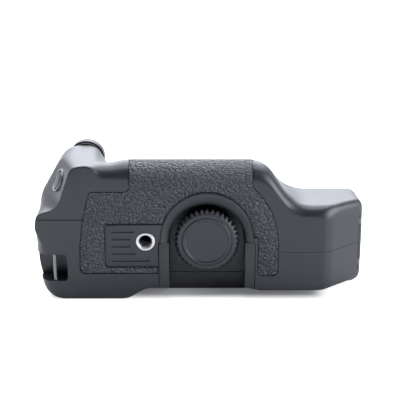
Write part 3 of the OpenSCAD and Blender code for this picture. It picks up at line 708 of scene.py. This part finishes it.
# recesses for what lies in the bottom face, from the front
def faceCutters():
    w, t, p = wellSet, slotSet, padSet
    front = bottomY - 1
    yield bendSheet(sheetSolid(rubberCorners(), ((0, -rubberSet["thick"]), (0, 1))))
    left, low, high = p["left"] - p["margin"], p["low"] - p["margin"], p["high"] + p["margin"]
    padRoom = [(left, low), (p["right"], low), (p["right"], w["postTop"]), (p["inArch"], w["postTop"]),
               (p["inArch"], high), (left, high)]
    yield prismSolid(padRoom, front, bottomY + p["thick"])
    yield prismSolid(wellOutline(w["gap"]), front, bottomY + w["cutDeep"])
    yield prismSolid(wellOutline(w["gap"], grip["archLift"]), front, bottomY + w["liftDeep"])
    slotCorners = [(-beyond, t["low"], 0), (t["right"], t["low"], t["round"]),
                   (t["right"], t["high"], t["round"]), (-beyond, t["high"], 0)]
    yield prismSolid(roundedPath(slotCorners, 5), front, bottomY + t["deep"])


def doorCutters():
    d = doorSet
    yield boxSolid((d["window"], d["near"], d["low"] - d["gap"]),
                   (beyond, d["far"] + d["gap"], d["high"] + d["gap"]))
    yield boxSolid(d["catchLow"], d["catchHigh"])
    yield rod(d["knuckle"] + d["gap"], d["low"], d["high"], Matrix.Translation((d["hingeX"], d["hingeY"], 0)))


# bores for the shutter, the socket and the strap bar
def boreCutters():
    t = slotSet
    atBar = Matrix.Translation((t["barX"], t["barY"], 0))
    yield rod(shutterSet["bezel"] + 0.05, -14, 9, onSlant, 64)
    yield rod(socketSet["outer"] + 0.1, -12, 2, atSocket, 64)
    yield rod(t["barRadius"] + 0.05, t["low"] - t["seat"], t["high"] + t["seat"], atBar, 24)


def rearCutters():
    r, u = rearSet, thumbSet
    low, high = r["cut"]
    reach, side = r["dialRadius"] + r["dialGap"], r["dialWide"] / 2 + r["dialGap"]
    yield boxSolid((r["dialX"] - reach, r["dialY"] - side, low),
                   (r["dialX"] + reach, r["dialY"] + side, r["dialZ"]))
    for x in r["buttons"]:
        yield rod(r["buttonRadius"] + 0.1, low, high, Matrix.Translation((x, r["buttonY"], 0)))
    yield rod(r["neck"] + 0.05, low, high, Matrix.Translation((r["leverX"], r["leverY"], 0)), 24)
    yield boxSolid([v - u["gap"] for v in u["low"]] + [-30], [v + u["gap"] for v in u["high"]] + [u["topZ"]])


# the room inside the shells, less the stock round the strap slot
def hollowCutter():
    t, wall = slotSet, grip["wall"]
    hollow = asObject("hollow", gripSolid(wall, wall, shellDepth, 3, False, shellDepth + 1))
    stock = boxSolid((-beyond, bottomY, t["low"] - wall),
                     (t["right"] + t["stock"], bottomY + t["deep"] + t["stock"], t["high"] + wall))
    return fromObject(carve(hollow, asObject("slotStock", stock)))


def hingeLugs():
    d = doorSet
    atHinge = Matrix.Translation((d["hingeX"], d["hingeY"], 0))
    for low, high in d["lugs"]:
        yield rod(d["knuckle"] - 0.1, low, high, atHinge, 32)
        yield boxSolid((d["hingeX"] - 4, d["hingeY"] - 0.7, low), (d["hingeX"], d["hingeY"] + 1.2, high))


whole = asObject("wholeShell", gripSolid(0, 0, shellDepth, grip["cornerSteps"]))
for cutter in (hollowCutter(), *faceCutters(), *doorCutters(), *boreCutters(), *rearCutters()):
    carve(whole, asObject("cutter", cutter))
for lug in hingeLugs():
    carve(whole, asObject("lug", lug), "UNION")
for shellName, shift, operation, replaced in (("frontShell", partingSet["half"], "INTERSECT", "front_shell"),
                                              ("rearShell", -partingSet["half"], "DIFFERENCE", "rear_shell")):
    left, right = grip["splitLeft"] + shift, grip["splitRight"] + shift * partingSet["rightShare"]
    zoneCorners = [(-beyond, left), (-shift, left), (-shift, right), (beyond, right), (beyond, beyond),
                   (-beyond, beyond)]
    zone = prismSolid(zoneCorners, -beyond, beyond)
    half = bpy.data.objects.new(shellName, whole.data.copy())
    scene.collection.objects.link(half)
    finishPiece(carve(half, asObject("frontZone", zone), operation), "shell", "body", [replaced], 28)
bpy.data.objects.remove(whole)
print("shells parted")


# knob well: an arch with a soft rim, two posts and a floor; the rim leaves the face at its lead angle
def bentRim(start, end, steps, lead):
    turns = [lead + (math.pi / 2 - lead) * k / steps for k in range(steps + 1)]
    (r0, h0), (r1, h1) = start, end
    wide, tall = 1 - math.sin(lead), math.cos(lead)
    across = [(math.sin(a) - math.sin(lead)) / wide for a in turns]
    down = [1 - math.cos(a) / tall for a in turns]
    return [(between(r0, r1, f), between(h0, h1, g)) for f, g in zip(across, down)]


def wellArch():
    w = wellSet
    back, flush = -w["deep"] - w["floor"], -0.02
    line = [(w["outer"], back), (w["outer"], -w["liftDeep"] - 0.1), (w["outer"], -w["liftDeep"] + 0.3),
            (w["outer"], flush - 0.2), (w["outer"] - 0.2, flush)]
    line += bentRim((w["radius"] + w["rim"], flush), (w["radius"], -w["rim"]), w["rimSteps"], w["rimLead"])
    line += [(w["radius"], back)]
    spread = math.asin(-w["postTop"] / w["outer"])
    bm = turnedSolid(line, 96, True, math.pi + 2 * spread)
    bm.transform(Matrix.Translation((0, bottomY, 0)) @ toViewer @ Matrix.Rotation(-spread, 4, "Z"))
    for v in bm.verts:
        if v.co.z > 0 and v.co.y < bottomY + w["liftDeep"]:
            outward = clamp01((math.hypot(v.co.x, v.co.z) - w["radius"]) / (w["outer"] - w["radius"]))
            v.co.z *= 1 + outward * grip["archLift"] / w["outer"]
    return bm


def wellPosts():
    w = wellSet
    for side in (-1, 1):
        low, high = sorted((side * w["half"], side * w["postOuter"]))
        yield boxSolid((low, bottomY + 0.04, -40), (high, bottomY + w["deep"] + 0.5, w["postTop"]),
                       w["postRound"])


def wellFloor():
    w = wellSet
    face = bottomY + w["deep"]
    plate = asObject("floorPlate", prismSolid(wellOutline(-0.1), face, face + w["floor"]))
    carve(plate, asObject("bushHole", rod(w["bush"], -30, 30, toViewer, 64)))
    line = boxSolid((-w["half"], face - 1, w["lineZ"] - w["lineHalf"]),
                    (w["half"], face + 0.4, w["lineZ"] + w["lineHalf"]))
    return fromObject(carve(plate, asObject("floorLine", line)))


wellSolids = [wellArch()]
for bm in (*wellPosts(), wellFloor()):
    body = asObject("body", gripSolid(0, 0, shellDepth, 4))
    wellSolids.append(fromObject(carve(asObject("rough", bm), body, "INTERSECT")))
finishPiece(joined("knobWell", wellSolids), "trim", "body", ["knob_well"], 24)

# fastening knob with ribs that fall away to the rear, and its dished cap
knobSet = {"front": -39.6, "ribs": 36, "tip": 15.15, "valley": 14.05, "points": 12, "sharp": 1.1,
           "grip": 8.6, "body": 13.1, "long": 12.4, "face": 13.3, "cap": 11.4, "capGap": 0.05,
           "capThick": 1.6, "neck": 2.85}
atKnob = Matrix.Translation((0, knobSet["front"], 0)) @ toViewer


def ribbedRing(tip, valley, height):
    count = knobSet["ribs"] * knobSet["points"]
    ring = []
    for k in range(count):
        wave = abs(math.cos(math.pi * k / knobSet["points"]))
        r = between(valley, tip, wave ** knobSet["sharp"])
        a = 2 * math.pi * k / count
        ring.append((r * math.cos(a), r * math.sin(a), height))
    return ring


# radius at the ribs, radius between them and height, from the cap's seat over the face and back inside
def knobSteps():
    k = knobSet
    seat, face, neck = k["cap"] + k["capGap"], k["face"], k["neck"]
    tip, valley, body = k["tip"], k["valley"], k["body"]
    seatSteps = [(seat, seat, -k["capThick"]), (seat, seat, -0.15), (seat + 0.15, seat + 0.15, 0.0)]
    faceSteps = [(face - 0.2, face - 0.2, 0.0), (face, face, -0.06)]
    ribSteps = [(tip - 1.55, face + 0.1, -0.2), (tip - 1.35, face + 0.2, -0.4),
                (tip - 0.3, valley - 0.1, -1.45), (tip - 0.08, valley, -1.7),
                (tip, valley, -2.5), (tip - 0.1, valley, -3.4)]
    backSteps = [(body + 0.5, body + 0.25, -k["grip"] + 0.3), (body + 0.3, body + 0.2, -k["grip"]),
                 (body, body, -k["grip"] - 0.2), (body, body, -k["long"])]
    neckSteps = [(neck, neck, -k["long"]), (neck, neck, -k["capThick"])]
    return seatSteps + faceSteps + ribSteps + backSteps + neckSteps


knobBm = bmesh.new()
rings = [ribbedRing(*step) for step in knobSteps()]
firstRing = ring = startRing(knobBm, rings[0])
for points in rings[1:]:
    ring = growRing(knobBm, ring, points)
bmesh.ops.bridge_loops(knobBm, edges=ringEdges(knobBm, ring) + ringEdges(knobBm, firstRing))
bmesh.ops.recalc_face_normals(knobBm, faces=knobBm.faces)
knobBm.transform(atKnob)
finishPiece(asObject("fasteningKnob", knobBm), "trim", "fastening_knob", ["knob"], 40)

cap, thick = knobSet["cap"], knobSet["capThick"]
capCorners = [(0, 0, 0), (cap - 1.65, 0, 0.5), (cap - 1.25, 0.28, 0.3), (cap - 0.3, 0.3, 0.3),
              (cap, 0.0, 0.2), (cap, -thick, 0.1), (0, -thick, 0)]
capBm = turnedPiece(capCorners, 4, 96, atKnob)
finishPiece(asObject("knobCap", capBm), "trim", "fastening_knob", ["knob_cap"], 40)

# shutter button in its bright bezel
bezel, bore, button = shutterSet["bezel"], shutterSet["bore"], shutterSet["button"]
bezelCorners = [(bezel, -9.8, 0), (bezel, 0.35, 0.25), (bezel - 0.45, 0.5, 0.25), (bore + 0.15, 0.45, 0.2),
                (bore, 0.1, 0.2), (bore, -9.8, 0)]
bezelBm = turnedPiece(bezelCorners, 4, 96, onSlant, True)
finishPiece(asObject("shutterBezel", bezelBm), "trim", "body", ["shutter_bezel"], 40, "satin")
buttonCorners = [(0, 0.7, 0), (2.6, 0.66, 1.2), (3.9, 0.42, 0.5), (button, -0.1, 0.3),
                 (button, -2.6, 0.1), (0, -2.6, 0)]
buttonBm = turnedPiece(buttonCorners, 5, 96, onSlant)
finishPiece(asObject("shutterButton", buttonBm), "trim", "shutter", ["shutter_button"], 40)

# strap bar with collars at its ends
collar, waist, seatRadius = slotSet["barRadius"], 0.82, 0.85
low, high, seat = slotSet["low"], slotSet["high"], slotSet["seat"]
barCorners = [(0, low - seat, 0), (seatRadius, low - seat, 0.1), (collar, low + 0.3, 0.2),
              (waist, low + 0.9, 0.4), (waist, high - 0.9, 0.4), (collar, high - 0.3, 0.2),
              (seatRadius, high + seat, 0.1), (0, high + seat, 0)]
barBm = turnedPiece(barCorners, 4, 32, Matrix.Translation((slotSet["barX"], slotSet["barY"], 0)))
finishPiece(asObject("strapBar", barBm), "steel", "body", ["strap_bar"], 40)

# floor, backdrop and light; only camera rays see the added white of the floor, and less of it round the grip
# paints a darker patch there, a painted shadow over the real cast shadow
floorSet = {"size": 3.0, "white": 0.6, "halfX": 0.058, "midX": -0.009, "front": -0.0315, "back": -0.004,
            "fade": 0.0095, "lift": 0.8, "paintedShadowLift": 0.1}
floorBm = bmesh.new()
bmesh.ops.create_grid(floorBm, x_segments=4, y_segments=4, size=floorSet["size"])
bmesh.ops.translate(floorBm, verts=floorBm.verts, vec=(0, 0, cadBox[0][2]))
table = asObject("table", floorBm)
white = Finish("tableWhite")
place = white.coords()
acrossX = white.add("ShaderNodeSeparateXYZ", None, {0: place}, out=0)
acrossY = white.add("ShaderNodeSeparateXYZ", None, {0: place}, out=1)
fromMid = acrossX - floorSet["midX"]
beside = fromMid.calc("ABSOLUTE", fromMid) - floorSet["halfX"]
ahead = acrossY.calc("MAXIMUM", floorSet["front"] - acrossY, acrossY - floorSet["back"])
beside, ahead = beside.calc("MAXIMUM", beside), ahead.calc("MAXIMUM", ahead)
away = (beside * beside + ahead * ahead) ** 0.5
# the added white falls to its lowest level near the grip's footprint: painted shadow round the grip, on top
# of the real shadow
lift = white.add("ShaderNodeMapRange", {"interpolation_type": "SMOOTHSTEP"},
                 {0: away, 1: 0.0, 2: floorSet["fade"], 3: floorSet["paintedShadowLift"], 4: floorSet["lift"]})
seen = white.add("ShaderNodeLightPath", out="Is Camera Ray")
added = white.mix(lift * seen, (0, 0, 0, 1), (1, 1, 1, 1))
paper = (floorSet["white"], floorSet["white"], floorSet["white"], 1)
table.data.materials.append(white.surface({"Base Color": paper, "Roughness": 0.8, "Specular IOR Level": 0.1,
                                           "Emission Color": added, "Emission Strength": 1.0}))

# each patch of light has its direction, the cosines where it starts and is full, and its strength
roomSet = {"front": 0.04, "back": 1.0, "tint": (0.9, 0.93, 1.0),
           "patches": (((0.0, 0.32, 0.947), 0.7, 0.82, 4.3), ((0.0, 0.8, 0.6), 0.78, 0.95, 3.0),
                       ((0.9, -0.4, 0.16), 0.8, 0.97, 8.0), ((-0.92, -0.36, 0.1), 0.8, 0.97, 1.2))}
room = Finish("room", bpy.data.worlds.new("room"))
scene.world = room.material
seen = room.add("ShaderNodeLightPath", out="Is Camera Ray")
toward = room.coords("Generated")
depth = room.add("ShaderNodeSeparateXYZ", None, {0: toward}, out=1)
glow = room.add("ShaderNodeMapRange", {"interpolation_type": "SMOOTHSTEP"},
                {0: depth, 1: -0.05, 2: 0.45, 3: roomSet["front"], 4: roomSet["back"]})
for aim, start, full, level in roomSet["patches"]:
    near = room.add("ShaderNodeVectorMath", {"operation": "DOT_PRODUCT"}, {0: toward, 1: aim}, out=1)
    glow = glow + room.add("ShaderNodeMapRange", {"interpolation_type": "SMOOTHSTEP"},
                           {0: near, 1: start, 2: full, 3: 0.0, 4: level})
skyTone = room.mix(seen, (*roomSet["tint"], 1), (1, 1, 1, 1))
backdrop = room.add("ShaderNodeBackground", None, {"Color": skyTone, "Strength": glow + seen * (1.0 - glow)})
room.add("ShaderNodeOutputWorld", None, {"Surface": backdrop})
scene.view_settings.view_transform = "Standard"
print("stage lit")
